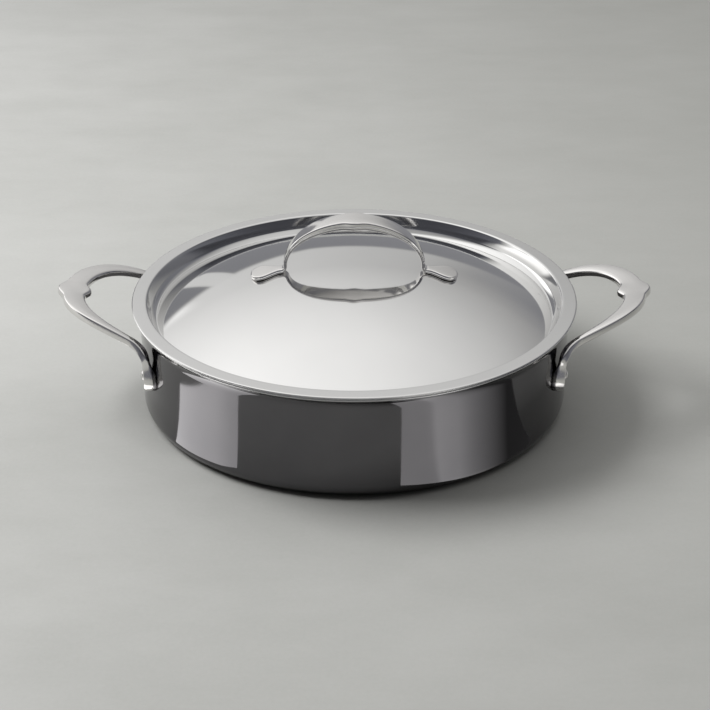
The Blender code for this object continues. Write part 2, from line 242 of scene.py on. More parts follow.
floorLook = {
    "tones": ((0.30, (0.446, 0.448, 0.430, 1)), (0.70, (0.574, 0.575, 0.560, 1))),
    "clouds": (3.0, 6.0, 0.62),
    "drag": (7.0, 13.0),  # the trowel's marks per metre along X and Y
    "dragNoise": (1.0, 6.0, 0.68),
    "grain": (320.0, 4.0, 0.75),
    "mottle": (0.42, 0.38, 0.20),  # the shares of clouds, drag and grain
    # painted shade: a darker tone blended into the floor's colour towards the right, by this share
    "paintedShadeTone": (0.36, 0.362, 0.335, 1),
    "paintedShadeShare": 0.58,
    "paintedShadeEdge": (-0.5, 0.6),  # painted shade: the floor's colour darkens towards the right, from here to here, for the light's falloff
    "roughness": (0.62, 0.8),
    "dragShare": 0.6,
    "relief": (0.0006, 0.25),
}


def radiusOf(x, y):
    # distance from the pan's axis
    return (x * x + y * y) ** 0.5


def latheLines(bench, across, scales):
    fine, coarse = [
        bench.noise(bench.joined(across * scale), 1.0, detail)
        for scale, detail in zip(scales, lathe["detail"])
    ]
    return weighed(lathe["fineShare"], fine, coarse)


def graphiteFinish(look):
    # dark ply polished to a mirror, with faint wiping marks and fine lines around it
    made = Finish("graphite polished steel", Metallic=1.0)
    place = made.place()
    x, y, z = made.split(place)
    cloud = made.noise(place, *look["cloud"])
    wipe = made.noise(made.stretched((x, y, z), look["wipe"]), 1.0, look["wipeDetail"])
    lines = latheLines(made, z, lathe["lines"])
    made.set(Base_Color=made.ramp(cloud, *look["tones"]))
    made.set(Roughness=made.span(weighed(look["wipeShare"], wipe, lines), *look["roughness"]))
    made.relief(weighed(look["lineShare"], lines, cloud), *look["relief"])
    return made.material


def lidFinish(look):
    # pressed sheet polished to a mirror on a lathe
    made = Finish("polished lid steel", Metallic=1.0)
    place = made.place()
    x, y, z = made.split(place)
    radius = radiusOf(x, y)
    cloud = made.noise(place, *look["cloud"])
    smudge = made.noise(place, *look["smudge"])
    lines = latheLines(made, radius, lathe["lines"])
    inGroove = made.smooth(abs(radius - look["groove"]), *look["grooveEdge"])
    made.set(Base_Color=made.ramp(cloud, *look["tones"]))
    made.set(Roughness=made.span(weighed(look["smudgeShare"], smudge, lines), *look["roughness"]))
    made.relief(lines * (look["plainLines"] + inGroove), *look["relief"])
    return made.material


def castFinish(look, name, level, roughness):
    # investment casting, tumbled and polished: soft waviness and small pits
    made = Finish(name, Metallic=1.0)
    place = made.place()
    wave = made.noise(place, *look["wave"])
    pits = made.noise(place, *look["pits"])
    cloud = made.noise(place, *look["cloud"])
    levels = (level - look["toneStep"], level + look["toneStep"])
    tones = [grey(*tone) for tone in zip(levels, look["warmth"])]
    made.set(Base_Color=made.ramp(cloud, *zip(look["toneStops"], tones)))
    made.set(Roughness=made.span(weighed(look["pitShare"], pits, cloud), *roughness))
    made.relief(weighed(look["waveShare"], wave, pits), *look["relief"])
    return made.material


def cookingFinish(look):
    # inside of the pan: brushed around, with the scuffs of the spinning tool
    made = Finish("cooking surface steel", Metallic=1.0, **look["brush"])
    place = made.place()
    x, y, z = made.split(place)
    lines = latheLines(made, radiusOf(x, y) + z, look["lines"])
    cloud = made.noise(place, *look["cloud"])
    made.set(Base_Color=made.blend(lines * look["lineTone"], *look["tones"]))
    made.set(Roughness=made.span(weighed(look["cloudShare"], cloud, lines), *look["roughness"]))
    made.relief(lines, *look["relief"])
    return made.material


def coreFinish(look):
    made = Finish("aluminium core", Metallic=1.0)
    rolled = made.noise(made.stretched(made.split(made.place()), look["rolled"]), 1.0)
    made.set(Base_Color=made.blend(rolled, *look["tones"]))
    made.set(Roughness=made.span(rolled, *look["roughness"]))
    made.relief(rolled, *look["relief"])
    return made.material


def floorFinish(look):
    # pale troweled concrete, with painted shade darkening its colour towards the right
    made = Finish("troweled concrete", Metallic=0.0, Specular_IOR_Level=0.0)
    place = made.place()
    x, y, z = made.split(place)
    clouds = made.noise(place, *look["clouds"])
    drag = made.noise(made.stretched((x, y), look["drag"]), *look["dragNoise"])
    grain = made.noise(place, *look["grain"])
    cloudShare, dragShare, grainShare = look["mottle"]
    mottle = clouds * cloudShare + drag * dragShare + grain * grainShare
    # painted shade: the floor's colour is blended darker towards the right, standing in for the key light's
    # falloff
    right = made.linear(x, *look["paintedShadeEdge"]) * look["paintedShadeShare"]
    made.set(Base_Color=made.blend(right, made.ramp(mottle, *look["tones"]), look["paintedShadeTone"]))
    made.set(Roughness=made.span(clouds, *look["roughness"]))
    made.relief(weighed(look["dragShare"], drag, grain), *look["relief"])
    return made.material


graphite = graphiteFinish(graphiteLook)
lidSteel = lidFinish(lidLook)
castSteel = castFinish(castLook, "cast handle steel", level=0.74, roughness=(0.09, 0.18))
castLidSteel = castFinish(castLook, "cast lid handle steel", level=0.77, roughness=(0.06, 0.15))
rivetSteel = castFinish(castLook, "rivet steel", level=0.68, roughness=(0.12, 0.24))
cookingSteel = cookingFinish(cookingLook)
aluminium = coreFinish(coreLook)
print("finishes mixed")


# Making pieces

weld = {
    "spun": 1e-6,  # vertices this close become one
    "mirrored": 1e-5,
}


class Pen:
    # draws an outline in the XZ plane: its last vertex is extruded, or spun along an arc
    def __init__(self, x, z):
        self.bm = bmesh.new()
        self.tip = self.bm.verts.new((x, 0, z))
        self.corners = []

    def line(self, x, z, steps=1):
        start = self.tip.co.copy()
        for step in range(1, steps + 1):
            self.tip = bmesh.ops.extrude_vert_indiv(self.bm, verts=[self.tip])["verts"][0]
            self.tip.co = start.lerp(Vector((x, 0, z)), step / steps)

    def arc(self, x, z, angle, steps):
        # counter-clockwise around (x, z) where the angle is positive
        spun = bmesh.ops.spin(
            self.bm, geom=[self.tip], cent=(x, 0, z), axis=(0, -1, 0), angle=angle, steps=steps
        )
        self.tip = [part for part in spun["geom_last"] if isinstance(part, bmesh.types.BMVert)][0]

    def rounded(self, size, segments=6):
        # the corner drawn last is rounded off, this far along both of its sides
        self.corners.append((self.tip, size, segments))

    def turned(self, steps):
        for corner, size, segments in self.corners:
            bmesh.ops.bevel(
                self.bm, geom=[corner], offset=size, offset_type="OFFSET", segments=segments,
                profile=0.5, affect="VERTICES", material=-1,
            )
        bmesh.ops.spin(
            self.bm, geom=self.bm.verts[:] + self.bm.edges[:], cent=(0, 0, 0), axis=(0, 0, 1),
            angle=math.tau, steps=steps, use_merge=True,
        )
        bmesh.ops.remove_doubles(self.bm, verts=self.bm.verts[:], dist=weld["spun"])
        return self.bm


def newObject(name, bm, material):
    mesh = bpy.data.meshes.new(name)
    bm.to_mesh(mesh)
    bm.free()
    mesh.materials.append(material)
    made = bpy.data.objects.new(name, mesh)
    bpy.context.scene.collection.objects.link(made)
    return made


def finishedPiece(name, bm, material, body, slot, *nodes):
    bmesh.ops.recalc_face_normals(bm, faces=bm.faces[:])
    if bm.calc_volume(signed=True) < 0:
        bmesh.ops.reverse_faces(bm, faces=bm.faces[:])
    piece = newObject(name, bm, material)
    piece.data.shade_smooth()
    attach(piece, body)
    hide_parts(*nodes)
    print("made", name, len(piece.data.polygons), "faces")


def mix(start, end, share):
    return start + (end - start) * share


def clamped(value):
    return min(max(value, 0.0), 1.0)


def bezier(start, startHandle, endHandle, end, share):
    rest = 1 - share
    return (
        start * rest ** 3 + startHandle * 3 * rest ** 2 * share
        + endHandle * 3 * rest * share ** 2 + end * share ** 3
    )


def swelling(distance, length):
    # a smooth swelling of this length, 1 at its middle
    share = min(abs(distance) / (length / 2), 1.0)
    return (1 + math.cos(math.pi * share)) / 2


def paddle(fromEnd, halfWidth, endRound, neck, blend):
    # half width of a round-ended paddle at this distance from its end
    if fromEnd < endRound:
        return halfWidth * math.sqrt(1 - (1 - fromEnd / endRound) ** 2)
    share = min((fromEnd - endRound) / blend, 1.0)
    return mix(halfWidth, neck, share * share * (3 - 2 * share))


def rolledOff(fromEnd, edge):
    # share of the thickness left where the end's edge rolls off, never quite nothing
    if fromEnd >= edge:
        return 1.0
    return math.sqrt(max(1 - (1 - fromEnd / edge) ** 2, 0.02))


# The clad shell

shell = {
    "radius": 0.152,
    "rimHeight": 0.0783,
    "wall": 0.0030,
    "outerPly": 0.0005,
    "cookingPly": 0.0005,
    "baseCorner": 0.010,
    "flare": 0.011,
    "flareReach": 0.004,
    "lip": 0.0010,
    "seam": 0.00006,  # hairline between the lip and the outer ply
    "nose": 0.0009,  # rounding of the rim's inner corner
    "noseOut": 0.8,  # the outer corner has this share of it
    "straightSteps": 6,
    "outerSteps": (14, 10),  # along the base corner and the flare
    "cookingSteps": (12, 12, 10),  # along the base corner, the flare's inside and its outside
    "lipSteps": 2,
    "around": 288,
}


def buildShell(size):
    flareAngle = math.acos(1 - size["flareReach"] / size["flare"])
    flareX = size["radius"] + size["flare"]
    flareZ = size["rimHeight"] - (size["flare"] + size["wall"]) * math.sin(flareAngle)
    cornerX = size["radius"] - size["baseCorner"]
    cornerZ = size["baseCorner"]
    lipAngle = size["lip"] / size["flare"]
    plyAngle = (size["lip"] + size["seam"]) / size["flare"]
    straight = size["straightSteps"]

    ply = size["outerPly"]
    cornerSteps, flareSteps = size["outerSteps"]
    pen = Pen(0, 0)
    pen.line(cornerX, 0, straight)
    pen.arc(cornerX, cornerZ, math.pi / 2, cornerSteps)
    pen.line(size["radius"], flareZ, straight)
    pen.arc(flareX, flareZ, plyAngle - flareAngle, flareSteps)
    away = Vector((flareX, 0, flareZ)) - pen.tip.co
    inner = pen.tip.co - away.normalized() * ply
    pen.line(inner.x, inner.z)
    pen.arc(flareX, flareZ, flareAngle - plyAngle, flareSteps)
    pen.line(size["radius"] - ply, cornerZ, straight)
    pen.arc(cornerX, cornerZ, -math.pi / 2, cornerSteps)
    pen.line(0, ply, straight)
    outer = pen.turned(size["around"])
    finishedPiece("outerPly", outer, graphite, "pan", "graphite_polished_steel", "pan_outer_ply")

    wall = size["wall"]
    back = wall - size["cookingPly"]
    cornerSteps, insideSteps, outsideSteps = size["cookingSteps"]
    pen = Pen(0, wall)
    pen.line(cornerX, wall, straight)
    pen.arc(cornerX, cornerZ, math.pi / 2, cornerSteps)
    pen.line(size["radius"] - wall, flareZ, straight)
    pen.arc(flareX, flareZ, -flareAngle, insideSteps)
    pen.rounded(size["nose"])
    pen.line(flareX - size["flare"] * math.cos(flareAngle), flareZ + size["flare"] * math.sin(flareAngle))
    pen.rounded(size["nose"] * size["noseOut"])
    pen.arc(flareX, flareZ, lipAngle, size["lipSteps"])
    away = (pen.tip.co - Vector((flareX, 0, flareZ))).normalized()
    inner = pen.tip.co + away * back
    pen.line(inner.x, inner.z)
    pen.arc(flareX, flareZ, flareAngle - lipAngle, outsideSteps)
    pen.line(size["radius"] - back, cornerZ, straight)
    pen.arc(cornerX, cornerZ, -math.pi / 2, cornerSteps)
    pen.line(0, back, straight)
    cooking = pen.turned(size["around"])
    finishedPiece("cookingPly", cooking, cookingSteel, "pan", "cooking_surface_steel", "pan_cooking_ply")

    # the core is sealed between the plies, so it keeps its own solid
    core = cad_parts["pan_core"]
    core.data.materials.clear()
    core.data.materials.append(aluminium)


buildShell(shell)


# The cast bars: a section is extruded from station to station


def barSection(bm, corners):
    # corners are (across, up, how far the corner is rounded), in metres at the nominal size
    points = [bm.verts.new((across, up, 0)) for across, up, rounding in corners]
    for point, after in zip(points, points[1:] + points[:1]):
        bm.edges.new((point, after))
    for point, (across, up, rounding) in zip(points, corners):
        bmesh.ops.bevel(
            bm, geom=[point], offset=rounding, offset_type="OFFSET", segments=5,
            profile=0.5, affect="VERTICES", material=-1,
        )


def castBar(bar, stations):
    # each station is (centre, across, up, half width, half thickness), from the mirror plane to the end
    bm = bmesh.new()
    acrossLayer = bm.verts.layers.float.new("across")
    upLayer = bm.verts.layers.float.new("up")
    barSection(bm, bar["section"])
    for vert in bm.verts:
        vert[acrossLayer], vert[upLayer] = vert.co.x, vert.co.y
    nominalWidth, nominalThickness = bar["sectionSize"]
    verts, edges = bm.verts[:], bm.edges[:]
    for index, (centre, across, up, halfWidth, halfThickness) in enumerate(stations):
        if index:
            grown = bmesh.ops.extrude_edge_only(bm, edges=edges)["geom"]
            verts = [part for part in grown if isinstance(part, bmesh.types.BMVert)]
            fresh = set(verts)
            edges = [
                part for part in grown
                if isinstance(part, bmesh.types.BMEdge) and set(part.verts) <= fresh
            ]
        # the middle of the section stretches and its edges keep their shape, down to the narrowest
        wide = max(halfWidth, bar["narrowest"])
        for vert in verts:
            reach = vert[acrossLayer]
            reach += math.copysign(min(abs(reach) / bar["core"], 1.0), reach) * (wide - nominalWidth)
            reach *= halfWidth / wide
            vert.co = centre + across * reach + up * (vert[upLayer] * halfThickness / nominalThickness)
    bmesh.ops.contextual_create(bm, geom=edges)
    return bm


def mirroredBar(bm, axis):
    bmesh.ops.mirror(bm, geom=bm.verts[:] + bm.edges[:] + bm.faces[:], axis=axis, merge_dist=weld["mirrored"])
    bmesh.ops.remove_doubles(bm, verts=bm.verts[:], dist=weld["spun"])
    return bm


def waysAlong(path, mirror):
    before = [path[1] * mirror] + path[:-1]
    after = path[1:] + [path[-1]]
    return [(end - start).normalized() for start, end in zip(before, after)]


# The loop handles

loopHandle = {
    "projection": 0.0583,
    "tipHeight": 0.0816,
    "tipSlope": 0.12,
    "tipWidth": 0.0160,
    "tipCurve": 0.0270,
    "knuckleWidth": 0.0078,
    "knuckleLength": 0.0230,
    "armGap": 0.0020,
    "armSpacing": 0.1084,
    "armSplay": math.radians(15.4),
    "armCurve": 0.0300,
    "armDrop": 0.0130,
    "dropPower": 1.65,
    "armWidth": 0.0076,
    "taperPower": 1.5,
    "thickness": 0.0053,
    "bendTop": 0.0080,
    "bendFoot": 0.0075,
    "footSpacing": 0.1260,
    "footWidth": 0.0125,
    "footNeck": 0.0070,
    "footBlend": 0.0160,
    "footFace": 0.1441,  # the feet's outer faces stand upright across X, so they are wedges on the round wall
    "footLean": 0.055,
    "footThickness": 0.0066,
    "footSwell": 1.6,  # the foot has its full thickness one part in this of the way down
    "footTop": 0.0560,
    "footEnd": 0.0348,
    "seatTop": 0.0600,  # the wall shapes what lies below this
    "seatGap": 0.0003,
    "footBack": 0.0016,  # what lies above this in the section becomes the foot's back
    "seatBlend": 0.0060,
    "edge": 0.0013,
    "leastRun": 0.01,  # a steeper bar takes its width's direction from the foot
    "armSteps": 56,
    "crowding": 1.3,  # the stations crowd towards the tip
    "bendSteps": 28,
    "footSteps": 10,
    "endSteps": 13,
    "endTurn": math.radians(84),
    "sectionSize": (0.0050, 0.00265),
    "core": 0.0030,
    "narrowest": 0.0034,
    "section": (  # cambered top, the inner edge rolled over, the outer side upright
        (-0.00500, -0.00265, 0.0006),
        (0.00490, -0.00265, 0.0008),
        (0.00500, 0.00020, 0.0012),
        (0.00360, 0.00200, 0.0011),
        (0.00000, 0.00265, 0.0015),
        (-0.00405, 0.00235, 0.0004),
        (-0.00480, 0.00165, 0.0005),
        (-0.00500, -0.00060, 0.0007),
    ),
}


def loopStations(size):
    # from the tip's middle to the foot's end, on the +X and +Y side
    radius = shell["radius"]
    tipWidth = size["tipWidth"] + size["knuckleWidth"]
    tip = Vector((radius + size["projection"] - tipWidth / 2, 0, 0))
    arm = Vector((radius + size["armGap"], size["armSpacing"] / 2, 0))
    armWay = Vector((math.cos(size["armSplay"]), -math.sin(size["armSplay"]), 0))
    tipPull = tip + Vector((0, size["tipCurve"], 0))
    armPull = arm + armWay * size["armCurve"]
    footTop, footEnd = size["footTop"], size["footEnd"]

    def armShare(point):
        return clamped((tip.x - point.x) / (tip.x - arm.x))

    def footDepth(height):
        # thickness of the foot at this height
        share = clamped((footTop - height) / (footTop - footEnd) * size["footSwell"])
        return mix(size["thickness"], size["footThickness"], share)

    def footPoint(height):
        face = size["footFace"] + (height - footEnd) * size["footLean"]
        return Vector((face - footDepth(height) / 2, size["footSpacing"] / 2, height))

    path = []
    for step in range(size["armSteps"] + 1):
        point = bezier(tip, tipPull, armPull, arm, (step / size["armSteps"]) ** size["crowding"])
        point.z = size["tipHeight"] - size["armDrop"] * armShare(point) ** size["dropPower"]
        path.append(point)
    armEnd = path[-1]

    footStart = footPoint(footTop)
    bendStart = armEnd + (armEnd - path[-2]).normalized() * size["bendTop"]
    bendEnd = footStart + Vector((size["bendFoot"] * size["footLean"], 0, size["bendFoot"]))
    bends = size["bendSteps"]
    path += [bezier(armEnd, bendStart, bendEnd, footStart, step / bends) for step in range(1, bends)]

    endRound = size["footWidth"] / 2
    straight = footTop - footEnd - endRound
    turn, steps, ends = size["endTurn"], size["footSteps"], size["endSteps"]
    drops = [straight * step / steps for step in range(steps)]
    drops += [straight + endRound * math.sin(turn * step / ends) for step in range(ends + 1)]
    path += [footPoint(footTop - drop) for drop in drops]

    armSlope = size["armDrop"] * size["dropPower"] / (tip.x - arm.x)
    footAcross = Vector((0, -1, 0))
    stations = []
    for point, way in zip(path, waysAlong(path, Vector((1, -1, 1)))):
        share = armShare(point)
        drop = clamped((armEnd.z - point.z) / (armEnd.z - footTop))
        across = Vector((-way.y, way.x, 0))
        if across.length > size["leastRun"]:
            across.normalize()
            across.z = across.x * mix(size["tipSlope"], armSlope, share)
            across = across.lerp(footAcross, drop)
        else:
            across = footAcross
        across = (across - way * across.dot(way)).normalized()
        thickness = footDepth(point.z)
        if drop == 0:
            width = mix(size["armWidth"], size["tipWidth"], (1 - share) ** size["taperPower"])
            width += size["knuckleWidth"] * swelling(point.y, size["knuckleLength"])
        else:
            fromEnd = point.z - footEnd
            neck = mix(size["armWidth"], size["footNeck"], drop) / 2
            width = 2 * paddle(fromEnd, size["footWidth"] / 2, endRound, neck, size["footBlend"])
            thickness *= rolledOff(fromEnd, size["edge"])
        stations.append((point, across, way.cross(across), width / 2, thickness / 2))
    return stations


def buildLoopHandle(name, node, turn, size):
    bm = castBar(size, loopStations(size))
    # the back of the foot is shaped to the round wall
    upLayer = bm.verts.layers.float["up"]
    wall = shell["radius"] + size["seatGap"]
    for vert in bm.verts:
        if vert.co.z < size["seatTop"]:
            seat = math.sqrt(wall ** 2 - vert.co.y ** 2)
            if vert[upLayer] > size["footBack"]:
                share = clamped((size["footTop"] - vert.co.z) / size["seatBlend"])
                vert.co.x = mix(vert.co.x, seat, share)
            vert.co.x = max(vert.co.x, seat)
    mirroredBar(bm, "Y")
    bmesh.ops.rotate(bm, cent=(0, 0, 0), matrix=Matrix.Rotation(turn, 3, "Z"), verts=bm.verts[:])
    finishedPiece(name, bm, castSteel, "pan", "cast_handle_steel", node)


buildLoopHandle("loopHandleRight", "handle_right", 0, loopHandle)
buildLoopHandle("loopHandleLeft", "handle_left", math.pi, loopHandle)


# Rivets: drawn along Z as if it were the way out through the wall

rivet = {
    "height": 0.0465,
    "shank": 0.0024,
    "head": 0.0046,
    "headDome": 0.0023,
    "edgeInset": 0.0003,  # the head's edge turns under, this far in and down
    "edgeDrop": 0.0001,
    "tail": 0.0050,
    "tailDome": 0.0013,
    "tailSeat": 0.14838,
    "headSeat": 0.15845,
    "bend": 0.15210,  # outside this radius the shank turns to stand square on the foot
    "bendRoom": 0.0015,  # the shank's first vertices outside the bend are this far from it
    "capSteps": 9,
    "around": 40,
    "places": {  # which side of the pan, and which side of the handle
        "rivet_right_front": (0, -1), "rivet_right_rear": (0, 1),
        "rivet_left_front": (math.pi, 1), "rivet_left_rear": (math.pi, -1),
    },
}


def cap(pen, radius, dome, seat, way):
    # a round cap drawn out to its edge, or from its edge in where way is -1
    sphere = (radius ** 2 + dome ** 2) / (2 * dome)
    pen.arc(0, seat + way * dome - way * sphere, -math.asin(radius / sphere), rivet["capSteps"])


def buildRivet(name, side, sign):
    shank, bend = rivet["shank"], rivet["bend"]
    under = rivet["headSeat"] - rivet["edgeDrop"]
    pen = Pen(0, rivet["headSeat"] + rivet["headDome"])
    cap(pen, rivet["head"], rivet["headDome"], rivet["headSeat"], 1)
    pen.line(rivet["head"] - rivet["edgeInset"], under)
    pen.line(shank, under)
    pen.line(shank, bend + rivet["bendRoom"], 2)
    pen.line(shank, rivet["tailSeat"], 3)
    pen.line(rivet["tail"], rivet["tailSeat"])
    cap(pen, rivet["tail"], rivet["tailDome"], rivet["tailSeat"], -1)
    bm = pen.turned(rivet["around"])
    bearing = sign * math.asin(loopHandle["footSpacing"] / 2 / bend)
    outer = [vert for vert in bm.verts if vert.co.z > bend]
    bmesh.ops.rotate(bm, cent=(0, 0, bend), matrix=Matrix.Rotation(bearing, 3, "X"), verts=outer)
    turn = Matrix.Rotation(side + bearing, 4, "Z") @ Matrix.Rotation(math.pi / 2, 4, "Y")
    bmesh.ops.transform(bm, matrix=Matrix.Translation((0, 0, rivet["height"])) @ turn, verts=bm.verts[:])
    finishedPiece(name.replace("_", " ").title().replace(" ", ""), bm, rivetSteel, "pan", "rivet_steel", name)


for name, (side, sign) in rivet["places"].items():
    buildRivet(name, side, sign)


# The lid

lidShape = {
    "radius": 0.1575,
    "sheet": 0.0010,
    "flange": 0.0105,
    "flangeBend": 0.0016,
    "flangeFall": 0.00028,  # the flange drops this much towards its edge
    "hem": 0.0013,  # the flange's edge is rolled down
    "hemTurn": math.radians(70),
    "cutEdge": 0.0002,  # rounding of the sheet's cut edge
    "drop": 0.0091,  # from the flange to the dome at domeReach
    "domeReach": 0.1336,
    "domeRise": 0.0298,
    "domeEnd": 0.1400,  # the dome runs down to here, into a narrow valley
    "valley": 0.0010,
    "valleyRise": math.radians(35),
    "bank": math.radians(58),  # the curved bank between the valley and the wall ends this steep
    "wallFoot": 0.1442,
    "footBend": 0.0004,
    "underRun": 0.004,  # the flange's underside has a vertex this far from its bend
    "underBend": 0.72,  # the bend's underside has this share of the sheet's own rounding
    "domeSteps": (76, 64),  # on the top and on the underside
    "bendSteps": 10,
    "hemSteps": 9,
    "around": 288,
}
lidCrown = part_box("lid")[1].z


def domeRadius(size):
    return (size["domeReach"] ** 2 + size["domeRise"] ** 2) / (2 * size["domeRise"])


def domeHeight(reach):
    sphere = domeRadius(lidShape)
    return lidCrown - sphere + math.sqrt(sphere ** 2 - reach ** 2)


def cornerOffset(before, after, gap):
    # from a corner between two slopes to the same corner of the sheet's other surface
    first = Vector((math.sin(before), 0, -math.cos(before)))
    second = Vector((math.sin(after), 0, -math.cos(after)))
    return (first + second) * gap / (1 + first.dot(second))


def buildLid(size):
    sphere, sheet = domeRadius(size), size["sheet"]
    flangeX = size["radius"] - size["flange"]
    flangeZ = lidCrown - size["domeRise"] + size["drop"]
    domeEnd, footX = size["domeEnd"], size["wallFoot"]
    fall, rise, bank = math.asin(domeEnd / sphere), size["valleyRise"], size["bank"]
    valley = size["valley"]
    valleyX = domeEnd + valley * math.sin(fall)
    valleyZ = domeHeight(domeEnd) + valley * math.cos(fall)
    bankStart = valleyX + valley * math.sin(rise)
    bankRadius = (footX - bankStart) / (math.sin(bank) - math.sin(rise))
    bankX = bankStart - bankRadius * math.sin(rise)
    bankZ = valleyZ - valley * math.cos(rise) + bankRadius * math.cos(rise)
    topSteps, underSteps = size["domeSteps"]
    bends, hems = size["bendSteps"], size["hemSteps"]

    pen = Pen(0, lidCrown)
    pen.arc(0, lidCrown - sphere, -fall, topSteps)
    pen.arc(valleyX, valleyZ, fall + rise, bends)
    pen.arc(bankX, bankZ, bank - rise, bends)
    pen.rounded(size["footBend"])
    footZ = pen.tip.co.z
    slope = math.atan2(flangeZ - footZ, flangeX - footX)
    pen.line(flangeX, flangeZ)
    pen.rounded(size["flangeBend"] * math.tan(slope / 2), bends)
    hemX = size["radius"] - size["hem"] * math.sin(size["hemTurn"])
    edgeZ = flangeZ - size["flangeFall"]
    hemZ = edgeZ - size["hem"]
    pen.line(hemX, edgeZ, 4)
    pen.arc(hemX, hemZ, -size["hemTurn"], hems)
    away = (pen.tip.co - Vector((hemX, 0, hemZ))).normalized()
    inner = pen.tip.co - away * sheet
    pen.rounded(size["cutEdge"], 3)
    pen.line(inner.x, inner.z)
    pen.rounded(size["cutEdge"], 3)
    pen.arc(hemX, hemZ, size["hemTurn"], hems)
    pen.line(flangeX + size["underRun"], flangeZ - sheet)
    pen.line(flangeX + sheet * math.tan(slope / 2), flangeZ - sheet)
    pen.rounded((size["flangeBend"] + sheet) * math.tan(slope / 2) * size["underBend"], 8)
    below = cornerOffset(bank, slope, sheet)
    pen.line(footX + below.x, footZ + below.z)
    under = bankRadius + sheet
    pen.line(bankX + under * math.sin(bank), bankZ - under * math.cos(bank))
    pen.arc(bankX, bankZ, rise - bank, bends)
    pen.arc(valleyX, valleyZ, -fall - rise, bends)
    pen.arc(0, lidCrown - sphere, fall, underSteps)
    finishedPiece("lidSheet", pen.turned(size["around"]), lidSteel, "lid", "polished_lid_steel", "lid")


buildLid(lidShape)


# The lid's handle

lidHandle = {
    "span": 0.0974,
    "rise": 0.0343,
    "crownWidth": 0.0186,
    "neckWidth": 0.0092,
    "taperPower": 4,
    "crownThickness": 0.0062,
    "neckThickness": 0.0026,
    "turn": 0.0034,
    "padWidth": 0.0208,
    "padLength": 0.0245,
    "padRound": 0.0072,
    "padThickness": 0.0032,
    "padGap": 0.0003,
    "knuckleWidth": 0.0038,
    "knuckleLength": 0.0190,
    "edge": 0.0012,
    "archSteps": 56,
    "turnSteps": 10,
    "padSteps": 16,
    "endSteps": 15,
    "endTurn": math.radians(84),
    "sectionSize": (0.0080, 0.0026),
    "core": 0.0050,
    "narrowest": 0.0040,
    "section": (  # the casting's parting line runs along both sides
        (-0.00750, -0.0026, 0.00060),
        (0.00750, -0.0026, 0.00060),
        (0.00800, -0.0015, 0.00040),
        (0.00790, -0.0003, 0.00016),
        (0.00745, 0.0000, 0.00016),
        (0.00730, 0.0017, 0.00045),
        (0.00660, 0.0023, 0.00040),
        (0.00000, 0.0026, 0.00300),
        (-0.00660, 0.0023, 0.00040),
        (-0.00730, 0.0017, 0.00045),
        (-0.00745, 0.0000, 0.00016),
        (-0.00790, -0.0003, 0.00016),
        (-0.00800, -0.0015, 0.00040),
    ),
}


def lidHandleStations(size):
    # from the crown's middle to the pad's end, on the +X side
    halfSpan = size["span"] / 2
    turn = size["turn"]
    seat = size["padGap"] + size["padThickness"] / 2
    padStart = halfSpan + turn
    base = domeHeight(padStart) + seat + turn
    crown = lidCrown + size["rise"]
    arches, turns, pads, ends = size["archSteps"], size["turnSteps"], size["padSteps"], size["endSteps"]
    path = []
    for step in range(arches):
        angle = math.pi / 2 * step / arches
        path.append(Vector((halfSpan * math.sin(angle), 0, mix(base, crown, math.cos(angle)))))
    for step in range(turns):
        angle = math.pi / 2 * step / turns
        path.append(Vector((padStart - turn * math.cos(angle), 0, base - turn * math.sin(angle))))
    padEnd = halfSpan + size["padLength"]
    roundStart = padEnd - size["padRound"]
    places = [mix(padStart, roundStart, step / pads) for step in range(pads)]
    places += [
        roundStart + size["padRound"] * math.sin(size["endTurn"] * step / ends) for step in range(ends + 1)
    ]
    path += [Vector((x, 0, domeHeight(x) + seat)) for x in places]

    across = Vector((0, 1, 0))
    neck = size["neckWidth"]
    stations = []
    for point, way in zip(path, waysAlong(path, Vector((-1, 1, 1)))):
        share = min(point.x / halfSpan, 1.0)
        width = mix(size["crownWidth"], neck, share ** size["taperPower"])
        width += size["knuckleWidth"] * swelling(point.x, size["knuckleLength"])
        thickness = mix(size["crownThickness"], size["neckThickness"], share ** 2)
        thickness = mix(thickness, size["padThickness"], clamped((point.x - halfSpan) / turn))
        if point.x > padStart:
            fromEnd, blend = padEnd - point.x, roundStart - padStart
            width = 2 * paddle(fromEnd, size["padWidth"] / 2, size["padRound"], neck / 2, blend)
            thickness *= rolledOff(fromEnd, size["edge"])
        stations.append((point, across, way.cross(across), width / 2, thickness / 2))
    return stations


lidBar = mirroredBar(castBar(lidHandle, lidHandleStations(lidHandle)), "X")
finishedPiece("lidHandle", lidBar, castLidSteel, "lid", "cast_lid_handle_steel", "lid_handle")


# Floor, light and camera

floor = {
    "edges": (-2.6, 2.6, -2.6, 1.06),  # left, right, near and far
    "level": -0.0002,
}
keyBox = {
    "bearing": math.radians(-78),  # clockwise from the back of the pan
    "height": math.radians(50),
    "distance": 1.75,
    "aim": (0, 0, 0.04),
    "size": (1.09, 0.87),
    "level": 8.6,
}
cards = {  # they lie beside the pan and show only in its polished wall
    "strength": 3.0,
    "warmth": 0.01,
    "level": 0.0004,
    "focus": (0.030, -0.104),  # where the round wall seems to gather what it mirrors on the right
    "sheets": (  # the sweep is the bearings around the focus, in degrees, that the glow runs over
        {"name": "cardLeft", "near": ((-0.1345, -0.0845), (-0.095, -0.138)),
         "far": ((-0.222, -0.067), (-0.214, -0.201)), "side": -1, "sweep": (-26, 16),
         "glow": ((0.0, 0.58), (0.07, 0.60), (0.285, 0.74), (0.76, 0.88), (1.0, 0.95))},
        {"name": "cardRight", "near": ((0.036, -0.161), (0.140, -0.085)),
         "far": ((0.093, -0.284), (0.290, -0.120)), "side": 1, "sweep": (-58, 16),
         "glow": ((0.0, 0.38), (0.05, 0.40), (0.11, 0.53), (0.30, 0.46), (0.43, 0.31),
                  (0.595, 0.155), (0.73, 0.03), (0.89, 0.03), (1.0, 0.08))},
    ),
}
